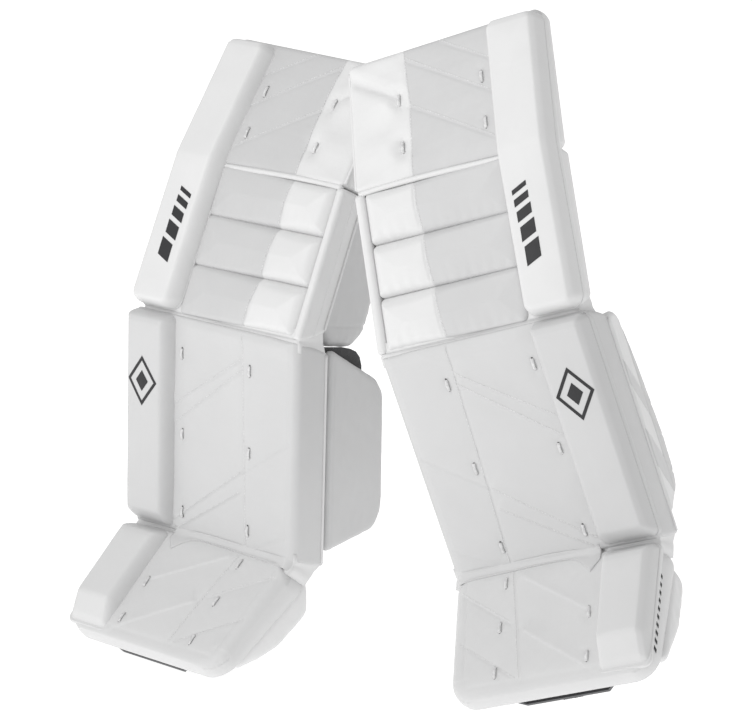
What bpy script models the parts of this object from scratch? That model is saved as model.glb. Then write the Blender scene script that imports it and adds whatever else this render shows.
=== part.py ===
"""A pair of senior ice hockey goalie leg pads, held up as worn, one leaning on the other.

Each pad is modelled once, in its own frame: +X towards the outer side of the leg, -Y the striking
face, +Z up the shin, with the origin on the knee break. The other pad is its mirror image.
The row frame has +Z up and its origin under the middle of the pair, at the lowest point.
"""

import math

import bmesh
import bpy
from mathutils import Matrix, Vector

# Driving dimensions, in metres.
SHIN_LENGTH = 0.297
KNEE_LENGTH = 0.205
THIGH_LENGTH = 0.178
BOOT_LENGTH = 0.176
INNER_X = -0.140
OUTER_X = 0.139
CREASE_X = 0.0645
ROLL_PROUD = 0.026
COVER_DEPTH = 0.060
THIGH_DEPTH = 0.048
BOOT_DEPTH = 0.046
BOOT_TAPER = 0.42
THIGH_TAPER = 0.38
PANEL = 0.0045
SKIN = 0.003
GAP = 0.0004
WING_DEPTH = 0.116
WING_THICK = 0.013
WALL_DEPTH = 0.036
STRAP_THICK = 0.003

# Rest angles, in degrees.
KNEE_LEAN = 24.5
THIGH_LEAN = 10.8
BOOT_ANGLE = 53.0
OUTER_WING_CANT = 12.0
# Slopes of the section ends behind the face and in front of it, which leave room for the flex.
KNEE_MITRE = math.tan(math.radians(23))
KNEE_FRONT = math.tan(math.radians(8))
ANKLE_MITRE = math.tan(math.radians(17))
ANKLE_FRONT = math.tan(math.radians(31))
BREAK_GAP = 0.0015

KNEE_ROLLS = 3
ROLL_PITCH = 0.0683
ROLL_GAP = 0.0012
ROLL_BACK = 0.027
EDGE_ROLL = 0.011

# Where each pad hangs in the row frame: position of its knee break, and its turns about X, Y, Z in degrees.
PADS = {
    "left": {"at": (0.1389, -0.1621, 0.4955), "turn": (4.66, -18.16, -22.24), "mirror": 1},
    "right": {"at": (-0.1941, 0.1134, 0.4380), "turn": (-0.96, 1.19, -38.65), "mirror": -1},
}

COLOURS = {
    "white_vinyl": ((0.86, 0.86, 0.86), 0.42, 0.0),
    "grey_vinyl": ((0.72, 0.72, 0.72), 0.45, 0.0),
    "foam": ((0.80, 0.79, 0.74), 0.95, 0.0),
    "black_lining": ((0.03, 0.03, 0.032), 0.9, 0.0),
    "black_webbing": ((0.025, 0.025, 0.027), 0.8, 0.0),
    "black_plastic": ((0.02, 0.02, 0.022), 0.4, 0.0),
    "grey_plastic": ((0.13, 0.13, 0.135), 0.5, 0.0),
}


def material(name):
    """A Principled material of the named colour, made once."""
    found = bpy.data.materials.get(name)
    if found:
        return found
    colour, roughness, metallic = COLOURS[name]
    made = bpy.data.materials.new(name)
    made.use_nodes = True
    shader = made.node_tree.nodes["Principled BSDF"]
    shader.inputs["Base Color"].default_value = (*colour, 1.0)
    shader.inputs["Roughness"].default_value = roughness
    shader.inputs["Metallic"].default_value = metallic
    return made


def rounded(corners, shrink=0.0, steps=4):
    """A closed outline through the corners (a, b, radius), moved inwards by shrink, each corner on an arc."""
    count = len(corners)
    places = [Vector(corner[:2]) for corner in corners]
    middle = sum(places, Vector((0, 0))) / count
    lines = []
    for i in range(count):
        along = (places[(i + 1) % count] - places[i]).normalized()
        normal = Vector((-along.y, along.x))
        if normal.dot(middle - places[i]) < 0:
            normal.negate()
        lines.append((places[i] + normal * shrink, along))
    moved = [crossing(lines[i - 1], lines[i]) for i in range(count)]
    outline = []
    for i, here in enumerate(moved):
        radius = max(corners[i][2] - shrink, 0.0008)
        before = (moved[i - 1] - here).normalized()
        after = (moved[(i + 1) % count] - here).normalized()
        half = before.angle(after) / 2
        centre = here + (before + after).normalized() * (radius / math.sin(half))
        start = here + before * (radius / math.tan(half)) - centre
        turn = start.angle_signed(here + after * (radius / math.tan(half)) - centre)
        for k in range(steps + 1):
            spun = start.copy()
            spun.rotate(Matrix.Rotation(-turn * k / steps, 2))
            outline.append(centre + spun)
    return outline


def crossing(first, second):
    """Where two lines, each a point and a direction, meet."""
    (start, along), (other, across) = first, second
    reach = (other - start).cross(across) / along.cross(across)
    return start + along * reach


def solid(name, rings, finish, parent):
    """An object lofted through rings of equal length, with flat ends."""
    mesh = bmesh.new()
    loops = [[mesh.verts.new(point) for point in ring] for ring in rings]
    for lower, upper in zip(loops, loops[1:]):
        for i in range(len(lower)):
            j = (i + 1) % len(lower)
            mesh.faces.new((lower[i], lower[j], upper[j], upper[i]))
    mesh.faces.new(loops[0])
    mesh.faces.new(loops[-1])
    bmesh.ops.recalc_face_normals(mesh, faces=mesh.faces)
    data = bpy.data.meshes.new(name)
    mesh.to_mesh(data)
    mesh.free()
    data.shade_smooth()
    data.set_sharp_from_angle(angle=math.radians(40))
    data.materials.append(material(finish))
    made = bpy.data.objects.new(name, data)
    bpy.context.scene.collection.objects.link(made)
    made.parent = parent
    return made


def bent(y, z, ends):
    """The height z of a section, moved so that its ends follow their mitre slopes at the depth y."""
    low, high, low_slopes, high_slopes = ends
    share = (z - low) / (high - low)
    side = 0 if y > 0 else 1
    return z + y * (low_slopes[side] * (1 - share) + high_slopes[side] * share)


SHIN_ENDS = (-SHIN_LENGTH, 0.0, (-ANKLE_MITRE, -ANKLE_FRONT), (-KNEE_MITRE, -KNEE_FRONT))
KNEE_ENDS = (0.0, KNEE_LENGTH, (KNEE_MITRE, KNEE_FRONT), (0.0, 0.0))
BOOT_ENDS = (-BOOT_LENGTH, 0.0, (0.0, 0.0), (ANKLE_MITRE, ANKLE_FRONT))
THIGH_ENDS = (0.0, THIGH_LENGTH, (0.0, 0.0), (0.0, 0.0))


def layers(corners, levels, ends, steps=4):
    """Rings of the rounded outline at each (depth, shrink), with mitred ends."""
    return [
        [(p.x, y, bent(y, p.y, ends)) for p in rounded(corners, shrink, steps)] for y, shrink in levels
    ]


def tray(name, outline, depth, finish, parent, ends, round_by=0.008):
    """A cover: front skin and four sides of one thickness, open at the back."""
    levels = [
        (0.0, round_by),
        (round_by, 0.0),
        (depth, 0.0),
        (depth, SKIN),
        (round_by + SKIN, SKIN),
        (SKIN, SKIN + round_by),
    ]
    return solid(name, layers(outline, levels, ends), finish, parent)


def core(name, outline, depth, parent, ends, round_by=0.008):
    """The foam block that fills a tray, a little clear of its skin."""
    clear = SKIN + 3 * GAP
    levels = [(clear, clear + round_by), (round_by + clear, clear), (depth - 2 * GAP, clear)]
    return solid(name, layers(outline, levels, ends), "foam", parent)


def plate(name, outline, front, back, finish, parent, ends, soften=0.0):
    """A flat piece between two depths, its back edge softened."""
    levels = [(front, 0.0), (back - soften, 0.0)]
    if soften:
        levels.append((back, soften))
    return solid(name, layers(outline, levels, ends), finish, parent)


def roll(name, outline, front, back, finish, parent, ends):
    """A stuffed roll that stands proud of the face, rounded at its front."""
    rise = back - front
    levels = [(back, 0.0), (front + 0.45 * rise, 0.0), (front + 0.14 * rise, 0.0025), (front, 0.009)]
    return solid(name, layers(outline, levels, ends), finish, parent)


def side_panel(name, corners, x_near, x_far, finish, parent):
    """A padded panel whose outline (depth, height) lies in a plane of constant X, with softened edges."""
    thick = x_far - x_near
    levels = [(x_near, 0.004), (x_near + 0.3 * thick, 0.0), (x_near + 0.7 * thick, 0.0), (x_far, 0.004)]
    rings = [[(x, p.x, p.y) for p in rounded(corners, shrink, 3)] for x, shrink in levels]
    return solid(name, rings, finish, parent)


def smoothed(path, steps=5):
    """A smooth curve through the points of the path."""
    ends = [path[0]] + list(path) + [path[-1]]
    curve = []
    for a, b, c, d in zip(ends, ends[1:], ends[2:], ends[3:]):
        for k in range(steps):
            t = k / steps
            curve.append(tuple(
                0.5 * (2 * q + (r - p) * t + (2 * p - 5 * q + 4 * r - s) * t**2 + (3 * q - p - 3 * r + s) * t**3)
                for p, q, r, s in zip(a, b, c, d)
            ))
    return curve + [tuple(path[-1])]


def band(name, path, width, finish, parent, at, thick=STRAP_THICK, along_x=False):
    """A strap of rectangular section along the path. The path lies across Z, or across X with along_x."""
    points = [Vector(p) for p in path]
    rings = []
    for i, point in enumerate(points):
        before = points[max(i - 1, 0)]
        after = points[min(i + 1, len(points) - 1)]
        along = (after - before).normalized()
        side = Vector((-along.y, along.x)) * (thick / 2)
        ring = []
        for edge, wide in ((1, 1), (1, -1), (-1, -1), (-1, 1)):
            a, b = point + side * edge
            across = at + wide * width / 2
            ring.append((across, a, b) if along_x else (a, b, across))
        rings.append(ring)
    return solid(name, rings, finish, parent)


def pivot(name, parent, at, lean=0.0):
    """An empty on a fold line, leaning back by that many degrees."""
    made = bpy.data.objects.new(name, None)
    bpy.context.scene.collection.objects.link(made)
    made.parent = parent
    made.location = at
    made.rotation_euler.x = -math.radians(lean)
    return made


def shin_section(pad, side):
    low, high = -SHIN_LENGTH + BREAK_GAP, -BREAK_GAP
    outline = [
        (INNER_X, low, 0.006), (OUTER_X - 0.002, low, 0.006),
        (OUTER_X - 0.002, high, 0.006), (INNER_X, high, 0.006),
    ]
    tray(side + "_shin_cover", outline, COVER_DEPTH, "white_vinyl", pad, SHIN_ENDS)
    core(side + "_shin_core", outline, COVER_DEPTH, pad, SHIN_ENDS)
    back_outline = [
        (INNER_X + 0.017, low + 0.004, 0.006), (OUTER_X - 0.019, low + 0.004, 0.006),
        (OUTER_X - 0.019, high - 0.004, 0.006), (INNER_X + 0.017, high - 0.004, 0.006),
    ]
    back = COVER_DEPTH + GAP
    plate(side + "_shin_back", back_outline, back, back + PANEL, "black_lining", pad, SHIN_ENDS)
    roll_outline = [
        (CREASE_X, low + 0.003, 0.010), (OUTER_X, low + 0.003, 0.014),
        (OUTER_X, high - 0.001, 0.010), (CREASE_X + 0.001, high - 0.001, 0.008),
    ]
    roll(side + "_shin_outer_roll", roll_outline, -ROLL_PROUD, -GAP, "white_vinyl", pad, SHIN_ENDS)
    cushion = [
        (-0.088, -0.268, 0.02), (0.088, -0.268, 0.02), (0.088, -0.050, 0.02), (-0.088, -0.050, 0.02),
    ]
    front = back + PANEL + GAP
    plate(side + "_leg_cushion", cushion, front, front + 0.016, "black_lining", pad,
          (-1.0, 1.0, (0.0, 0.0), (0.0, 0.0)), soften=0.005)


def calf_wings(pad, side):
    near = COVER_DEPTH + 0.008
    far = near + WING_DEPTH
    inner = [
        (near, -0.298, 0.006), (far - 0.014, -0.288, 0.022), (far, -0.262, 0.030),
        (far - 0.002, -0.105, 0.025), (far - 0.018, -0.082, 0.015), (near, -0.022, 0.006),
    ]
    side_panel(side + "_inner_calf_wing", inner, INNER_X + 0.001, INNER_X + 0.001 + WING_THICK,
               "grey_vinyl", pad)
    hinge = pivot(side + "_outer_wing_frame", pad, (OUTER_X - 0.003 - WING_THICK / 2, near, 0))
    hinge.rotation_euler.z = math.radians(OUTER_WING_CANT)
    outer = [
        (0.001, -0.292, 0.006), (WING_DEPTH - 0.012, -0.286, 0.030), (WING_DEPTH, -0.225, 0.060),
        (WING_DEPTH - 0.020, -0.120, 0.080), (WING_DEPTH - 0.052, -0.040, 0.040), (0.001, -0.028, 0.006),
    ]
    side_panel(side + "_outer_calf_wing", outer, -WING_THICK / 2, WING_THICK / 2, "white_vinyl", hinge)
    behind = far + STRAP_THICK
    inside = INNER_X + 0.001 + WING_THICK + STRAP_THICK
    band(side + "_calf_strap", smoothed([
        (OUTER_X - 0.036, behind), (0.060, behind + 0.007), (0.0, behind + 0.011),
        (-0.070, behind + 0.008), (inside + 0.010, behind - 0.002), (inside + 0.001, behind - 0.014),
        (inside, behind - 0.030),
    ]), 0.038, "black_webbing", pad, -0.205)


def knee_section(knee, side):
    low = BREAK_GAP
    for number in range(KNEE_ROLLS):
        foot = number * ROLL_PITCH + low
        head = foot + ROLL_PITCH - ROLL_GAP
        outline = [
            (INNER_X + EDGE_ROLL + 0.001, foot, 0.007), (CREASE_X - 0.001, foot, 0.007),
            (CREASE_X - 0.001, head, 0.007), (INNER_X + EDGE_ROLL + 0.001, head, 0.007),
        ]
        levels = [(ROLL_BACK, 0.0), (0.006, 0.0), (-0.001, 0.003), (-0.004, 0.009)]
        name = f"{side}_knee_roll_{KNEE_ROLLS - number}"
        solid(name, layers(outline, levels, KNEE_ENDS), "white_vinyl", knee)
    head = KNEE_LENGTH - BREAK_GAP
    edge = [
        (INNER_X, low, 0.005), (INNER_X + EDGE_ROLL, low, 0.005),
        (INNER_X + EDGE_ROLL, head, 0.005), (INNER_X, head, 0.005),
    ]
    levels = [(ROLL_BACK, 0.0), (0.007, 0.0), (0.0, 0.004)]
    solid(side + "_inner_knee_roll", layers(edge, levels, KNEE_ENDS), "white_vinyl", knee)
    block = [
        (INNER_X + 0.001, low, 0.006), (OUTER_X - 0.010, low, 0.006),
        (OUTER_X - 0.010, head, 0.006), (INNER_X + 0.001, head, 0.006),
    ]
    plate(side + "_knee_core", block, ROLL_BACK + GAP, THIGH_DEPTH, "foam", knee, KNEE_ENDS)


def lean_back(y, z):
    """A point of the knee section's frame, carried round the start of the thigh where it lies above it."""
    over = z - KNEE_LENGTH
    if over <= 0:
        return y, z
    angle = math.radians(THIGH_LEAN)
    return y * math.cos(angle) + over * math.sin(angle), KNEE_LENGTH - y * math.sin(angle) + over * math.cos(angle)


def upper_roll(knee, side):
    """The outer roll of the knee and thigh, one stuffed piece bent where the thigh starts leaning."""
    foot = BREAK_GAP + 0.001
    head = KNEE_LENGTH + THIGH_LENGTH - 0.003
    heights = [foot, foot + 0.008, 0.06, 0.12, 0.17, 0.19, 0.205, 0.22, 0.24, 0.30, head - 0.024, head - 0.008, head]
    rings = []
    for z in heights:
        end = max(0.0, 1 - (z - foot) / 0.008)
        crest = max(0.0, 1 - (head - z) / 0.024)
        tight = 0.008 * end * end + 0.013 * crest * crest
        share = (z - foot) / (head - foot)
        near = CREASE_X - 0.006 * share + 0.3 * tight
        far = OUTER_X - 0.008 * share - tight
        front = -ROLL_PROUD + 0.8 * tight
        section = [
            (near, -GAP), (near, 0.45 * front), (near + 0.0025, 0.86 * front), (near + 0.009, front),
            (far - 0.009, front), (far - 0.0025, 0.86 * front), (far, 0.45 * front), (far, -GAP),
        ]
        low_tilt = max(0.0, 1 - (z - foot) / 0.05)
        ring = []
        for x, y in section:
            moved = lean_back(y, z + y * KNEE_FRONT * low_tilt)
            ring.append((x, *moved))
        rings.append(ring)
    solid(side + "_upper_outer_roll", rings, "white_vinyl", knee)


def upper_back(knee, side):
    """The back panel of the knee and thigh, in one sheet."""
    near, far = INNER_X + 0.006, OUTER_X - 0.022
    front = THIGH_DEPTH + 2 * GAP
    foot = front * KNEE_MITRE + 0.006
    rings = []
    for z in (foot, 0.08, 0.15, 0.185, 0.203, 0.215, 0.25, 0.30, KNEE_LENGTH + THIGH_LENGTH - 0.014):
        ring = []
        thinned = THIGH_DEPTH * THIGH_TAPER * max(0.0, z - KNEE_LENGTH) / THIGH_LENGTH
        for x, y in ((near, front), (near, front + PANEL), (far, front + PANEL), (far, front)):
            ring.append((x, *lean_back(y - thinned, z)))
        rings.append(ring)
    solid(side + "_upper_back", rings, "white_vinyl", knee)


def knee_interior(knee, side):
    front = THIGH_DEPTH + 2 * GAP + PANEL + GAP
    cushion = [
        (-0.090, 0.042, 0.025), (0.085, 0.042, 0.025), (0.085, 0.178, 0.025), (-0.090, 0.178, 0.025),
    ]
    plate(side + "_knee_cushion", cushion, front, front + 0.026, "black_lining", knee,
          THIGH_ENDS, soften=0.008)
    landing = [
        (front, 0.0265, 0.003), (0.068, 0.0240, 0.006), (0.084, 0.0090, 0.006), (0.138, 0.022, 0.014),
        (0.155, 0.048, 0.020), (0.150, 0.150, 0.030), (0.120, 0.182, 0.030), (front, 0.186, 0.006),
    ]
    side_panel(side + "_knee_landing", landing, INNER_X + 0.018, INNER_X + 0.040, "grey_vinyl", knee)
    band(side + "_knee_strap", smoothed([
        (0.0900, front + STRAP_THICK), (0.0925, 0.076), (0.0890, 0.108), (0.071, 0.136),
        (0.034, 0.154), (-0.020, 0.160), (-0.072, 0.157), (-0.092, 0.147), (-0.0972, 0.126),
    ]), 0.038, "black_webbing", knee, 0.105)


def thigh_section(knee, side):
    thigh = pivot(side + "_thigh_frame", knee, (0, 0, KNEE_LENGTH), THIGH_LEAN)
    low = 0.001
    # The mitre keeps the leaning thigh clear of the knee core behind it.
    slope = math.tan(math.radians(THIGH_LEAN)) + 0.01
    ends = (0.0, THIGH_LENGTH, (slope, 0.0), (0.0, 0.0))
    outline = [
        (INNER_X, low, 0.006), (OUTER_X - 0.012, low, 0.006),
        (OUTER_X - 0.018, THIGH_LENGTH + 0.006, 0.022), (CREASE_X - 0.006, THIGH_LENGTH + 0.003, 0.100),
        (INNER_X + 0.002, THIGH_LENGTH - 0.006, 0.012),
    ]
    cover = tray(side + "_thigh_cover", outline, THIGH_DEPTH, "white_vinyl", thigh, ends)
    filling = core(side + "_thigh_core", outline, THIGH_DEPTH, thigh, ends)
    for tapered in (cover, filling):
        for vertex in tapered.data.vertices:
            vertex.co.y *= 1 - THIGH_TAPER * max(0.0, vertex.co.z) / THIGH_LENGTH


def toe_taper(y, z):
    """The depth y behind the boot's face, thinned towards the toe."""
    return y if y < 0 else y * (1 + BOOT_TAPER * z / BOOT_LENGTH)


def thin_towards_toe(made):
    for vertex in made.data.vertices:
        vertex.co.y = toe_taper(vertex.co.y, vertex.co.z)


def boot_section(boot, side):
    low, high = -BOOT_LENGTH, -BREAK_GAP
    outline = [
        (INNER_X + 0.009, low, 0.030), (OUTER_X - 0.006, low, 0.036),
        (OUTER_X - 0.001, high, 0.006), (INNER_X, high, 0.006),
    ]
    cover = tray(side + "_boot_cover", outline, BOOT_DEPTH, "white_vinyl", boot, BOOT_ENDS, round_by=0.010)
    filling = core(side + "_boot_core", outline, BOOT_DEPTH, boot, BOOT_ENDS, round_by=0.010)
    back_outline = [
        (INNER_X + 0.026, low + 0.006, 0.020), (OUTER_X - 0.023, low + 0.006, 0.024),
        (OUTER_X - 0.018, high - 0.002, 0.006), (INNER_X + 0.018, high - 0.002, 0.006),
    ]
    back = BOOT_DEPTH + GAP
    panel = plate(side + "_boot_back", back_outline, back, back + PANEL, "black_lining", boot, BOOT_ENDS)
    for tapered in (cover, filling, panel):
        thin_towards_toe(tapered)
    roll_outline = [
        (CREASE_X + 0.003, low + 0.004, 0.010), (OUTER_X - 0.010, low + 0.004, 0.018),
        (OUTER_X - 0.002, high - 0.003, 0.010), (CREASE_X, high - 0.003, 0.008),
    ]
    made = roll(side + "_boot_outer_roll", roll_outline, -ROLL_PROUD, -GAP, "white_vinyl", boot, BOOT_ENDS)
    facet_start, facet_drop = low + 0.040, 0.5
    for vertex in made.data.vertices:
        below = facet_start - vertex.co.z
        if below > 0 and vertex.co.y < -0.004:
            vertex.co.y = min(-0.004, vertex.co.y + facet_drop * below)
    boot_walls(boot, side, back)


def boot_walls(boot, side, back):
    far = back + WALL_DEPTH
    start = toe_taper(back, -0.145) + GAP
    wall = [
        (start, -0.145, 0.003), (start + 0.012, -0.145, 0.003), (far - 0.008, -0.080, 0.020),
        (far, -0.014, 0.012), (back, -0.010, 0.003),
    ]
    side_panel(side + "_boot_outer_wall", wall, OUTER_X - 0.017, OUTER_X - 0.006, "white_vinyl", boot)
    side_panel(side + "_boot_inner_wall", wall, INNER_X + 0.005, INNER_X + 0.016, "white_vinyl", boot)
    behind = far + STRAP_THICK
    at = -0.046
    band(side + "_boot_strap", smoothed([
        (OUTER_X - 0.0194, far - 0.012), (OUTER_X - 0.0210, far - 0.004), (OUTER_X - 0.032, behind + 0.001),
        (0.070, behind + 0.006), (0.0, behind + 0.008), (-0.070, behind + 0.006),
        (INNER_X + 0.031, behind + 0.001), (INNER_X + 0.0200, far - 0.004), (INNER_X + 0.0184, far - 0.012),
    ]), 0.025, "black_webbing", boot, at)
    buckle(boot, side, -0.030, behind + 0.008 + STRAP_THICK / 2, at)
    toe_gear(boot, side)


def buckle(boot, side, x, y, z):
    """A slide buckle on the boot strap: a frame with two slots."""
    frame = [
        (x - 0.020, z - 0.018, 0.004), (x + 0.020, z - 0.018, 0.004),
        (x + 0.020, z + 0.018, 0.004), (x - 0.020, z + 0.018, 0.004),
    ]
    still = (-1.0, 1.0, (0.0, 0.0), (0.0, 0.0))
    made = plate(side + "_boot_buckle", frame, y + GAP, y + 0.006, "black_plastic", boot, still, soften=0.001)
    for label, offset in (("a", -0.009), ("b", 0.009)):
        slot = [
            (x + offset - 0.004, z - 0.0125, 0.001), (x + offset + 0.004, z - 0.0125, 0.001),
            (x + offset + 0.004, z + 0.0125, 0.001), (x + offset - 0.004, z + 0.0125, 0.001),
        ]
        cutter = plate(f"{side}_buckle_slot_{label}", slot, y - 0.004, y + 0.010, "black_plastic", boot, still)
        cutter.hide_render = True
        cutter.display_type = "WIRE"
        cut = made.modifiers.new("slot_" + label, "BOOLEAN")
        cut.operation = "DIFFERENCE"
        cut.object = cutter


def toe_gear(boot, side):
    """The toe bridge, a stiff strip arched off the boot's back, and the strap hooked over it."""
    at = -0.160
    foot = toe_taper(BOOT_DEPTH + GAP + PANEL, at + 0.012) + GAP + 0.0028
    crown = foot + 0.0110
    band(side + "_toe_bridge", [
        (-0.074, foot), (-0.060, foot), (-0.050, crown), (0.058, crown), (0.068, foot), (0.082, foot),
    ], 0.016, "grey_plastic", boot, at, thick=0.004)
    band(side + "_toe_strap", [
        (foot + 0.0005, at + 0.004), (foot + 0.001, at + 0.012), (crown - 0.003, at + 0.0145),
        (crown + 0.004, at + 0.013), (crown + 0.0055, at + 0.006), (crown + 0.0050, at - 0.006),
    ], 0.026, "black_webbing", boot, 0.008, along_x=True)


def build_pad(side, place):
    pad = pivot(side + "_pad_frame", None, place["at"])
    pad.rotation_euler = [math.radians(angle) for angle in place["turn"]]
    pad.scale.x = place["mirror"]
    knee = pivot(side + "_knee_frame", pad, (0, 0, 0), KNEE_LEAN)
    boot = pivot(side + "_boot_frame", pad, (0, 0, -SHIN_LENGTH), BOOT_ANGLE)
    shin_section(pad, side)
    calf_wings(pad, side)
    knee_section(knee, side)
    upper_roll(knee, side)
    upper_back(knee, side)
    knee_interior(knee, side)
    thigh_section(knee, side)
    boot_section(boot, side)


def main():
    for obj in list(bpy.data.objects):
        bpy.data.objects.remove(obj)
    for side, place in PADS.items():
        build_pad(side, place)


main()
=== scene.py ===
"""Looks for a pair of ice hockey goalie leg pads: stuffed synthetic leather, black lining and webbing.

Each pad is made in its own frame: +X to the outer side of the leg, +Y behind the striking face, +Z up the
shin. The right pad is the left one's mirror image.
"""

import math

import bmesh
import bpy
import numpy as np
from mathutils import Matrix, Vector


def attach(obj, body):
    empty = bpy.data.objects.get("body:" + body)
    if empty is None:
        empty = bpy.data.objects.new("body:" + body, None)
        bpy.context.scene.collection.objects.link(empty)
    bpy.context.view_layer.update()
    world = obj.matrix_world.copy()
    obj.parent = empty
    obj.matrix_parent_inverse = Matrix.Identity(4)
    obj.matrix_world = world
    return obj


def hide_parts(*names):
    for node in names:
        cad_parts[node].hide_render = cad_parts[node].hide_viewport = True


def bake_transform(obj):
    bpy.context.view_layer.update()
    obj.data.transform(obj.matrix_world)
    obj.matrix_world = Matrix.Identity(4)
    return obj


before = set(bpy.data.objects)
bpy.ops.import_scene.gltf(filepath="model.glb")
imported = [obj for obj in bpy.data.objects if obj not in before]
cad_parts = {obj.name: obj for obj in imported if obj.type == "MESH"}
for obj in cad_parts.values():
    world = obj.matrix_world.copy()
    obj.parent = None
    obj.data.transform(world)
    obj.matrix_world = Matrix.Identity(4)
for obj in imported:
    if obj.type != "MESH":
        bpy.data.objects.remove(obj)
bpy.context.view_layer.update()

# The part's driving dimensions, in metres.
SHIN_LENGTH = 0.297
KNEE_LENGTH = 0.205
THIGH_LENGTH = 0.178
BOOT_LENGTH = 0.176
INNER_X = -0.140
OUTER_X = 0.139
CREASE_X = 0.0645
ROLL_PROUD = 0.026
COVER_DEPTH = 0.060
THIGH_DEPTH = 0.048
BOOT_DEPTH = 0.046
BOOT_TAPER = 0.42
THIGH_TAPER = 0.38
EDGE_ROLL = 0.011
ROLL_PITCH = 0.0683
LACE_REACH = 0.0068
KNEE_LEAN, THIGH_LEAN, BOOT_ANGLE = 24.5, 10.8, 53.0
KNEE_ROLL_DEPTH = 0.027
KNEE_MITRE, KNEE_FRONT = math.tan(math.radians(23)), math.tan(math.radians(8))
ANKLE_MITRE, ANKLE_FRONT = math.tan(math.radians(17)), math.tan(math.radians(31))
PADS = {
    "left": {"at": (0.1389, -0.1621, 0.4955), "turn": (4.66, -18.16, -22.24), "mirror": 1},
    "right": {"at": (-0.1941, 0.1134, 0.4380), "turn": (-0.96, 1.19, -38.65), "mirror": -1},
}


def tilt(degrees):
    return Matrix.Rotation(-math.radians(degrees), 4, "X")


def frames(side):
    """The world matrix of each section of a pad."""
    place = PADS[side]
    turn = [math.radians(angle) for angle in place["turn"]]
    turns = [Matrix.Rotation(turn[k], 4, "XYZ"[k]) for k in range(3)]
    spin = turns[2] @ turns[1] @ turns[0]
    pad = Matrix.Translation(place["at"]) @ spin @ Matrix.Scale(place["mirror"], 4, (1, 0, 0))
    knee = pad @ tilt(KNEE_LEAN)
    return {
        "pad": pad,
        "knee": knee,
        "thigh": knee @ Matrix.Translation((0, 0, KNEE_LENGTH)) @ tilt(THIGH_LEAN),
        "boot": pad @ Matrix.Translation((0, 0, -SHIN_LENGTH)) @ tilt(BOOT_ANGLE),
    }


# Materials


def shader_of(name):
    made = bpy.data.materials.new(name)
    made.use_nodes = True
    return made, made.node_tree, made.node_tree.nodes["Principled BSDF"]


def add(tree, kind, **inputs):
    node = tree.nodes.new(kind)
    for key, value in inputs.items():
        node.inputs[key.replace("_", " ")].default_value = value
    return node


def ramp(tree, source, low, high, dark, light):
    """A factor between two positions, turned into a value between two others."""
    node = add(tree, "ShaderNodeMapRange", From_Min=low, From_Max=high, To_Min=dark, To_Max=light)
    tree.links.new(source, node.inputs["Value"])
    return node.outputs["Result"]


def blend_colours(tree, first, second, factor):
    """A colour between two, by a factor socket."""
    node = tree.nodes.new("ShaderNodeMix")
    node.data_type = "RGBA"
    colour_sockets = [socket for socket in node.inputs if socket.type == "RGBA"]
    colour_sockets[0].default_value = (*first, 1)
    colour_sockets[1].default_value = (*second, 1)
    tree.links.new(factor, node.inputs[0])
    return next(socket for socket in node.outputs if socket.type == "RGBA")


def bump(tree, shader, layers):
    """Bumps in turn, each (height socket, distance, strength)."""
    last = None
    for height, distance, strength in layers:
        node = add(tree, "ShaderNodeBump", Distance=distance, Strength=strength)
        tree.links.new(height, node.inputs["Height"])
        if last:
            tree.links.new(last.outputs["Normal"], node.inputs["Normal"])
        last = node
    tree.links.new(last.outputs["Normal"], shader.inputs["Normal"])


def vinyl(name, white, grey=None, roughness=0.42, scuffs=0.03):
    """Coated synthetic leather: fine pebble grain, slow tonal drift, faint scuffs. The colour follows 'tone'
    from white to grey: sewn grey panels, and painted shade over whole lower sections.
    """
    made, tree, shader = shader_of(name)
    place = add(tree, "ShaderNodeTexCoord").outputs["Object"]
    grain = add(tree, "ShaderNodeTexVoronoi", Scale=1400.0)
    drift = add(tree, "ShaderNodeTexNoise", Scale=14.0, Detail=4.0, Roughness=0.55)
    creases = add(tree, "ShaderNodeTexNoise", Scale=70.0, Detail=6.0, Roughness=0.6, Distortion=0.6)
    for node in (grain, drift, creases):
        tree.links.new(place, node.inputs["Vector"])
    tone = add(tree, "ShaderNodeAttribute")
    tone.attribute_name = "tone"
    panels = blend_colours(tree, white, grey or white, tone.outputs["Fac"])
    wear = ramp(tree, drift.outputs["Fac"], 0.3, 0.7, 1 - scuffs, 1.0)
    shades = tree.nodes.new("ShaderNodeVectorMath")
    shades.operation = "SCALE"
    tree.links.new(panels, shades.inputs[0])
    tree.links.new(wear, shades.inputs["Scale"])
    tree.links.new(shades.outputs["Vector"], shader.inputs["Base Color"])
    tree.links.new(
        ramp(tree, creases.outputs["Fac"], 0.3, 0.7, roughness - 0.05, roughness + 0.07),
        shader.inputs["Roughness"],
    )
    shader.inputs["Specular IOR Level"].default_value = 0.42
    shader.inputs["Sheen Weight"].default_value = 0.04
    bump(tree, shader, [
        (creases.outputs["Fac"], 0.0006, 0.35),
        (grain.outputs["Distance"], 0.00012, 0.30),
    ])
    return made


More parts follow.
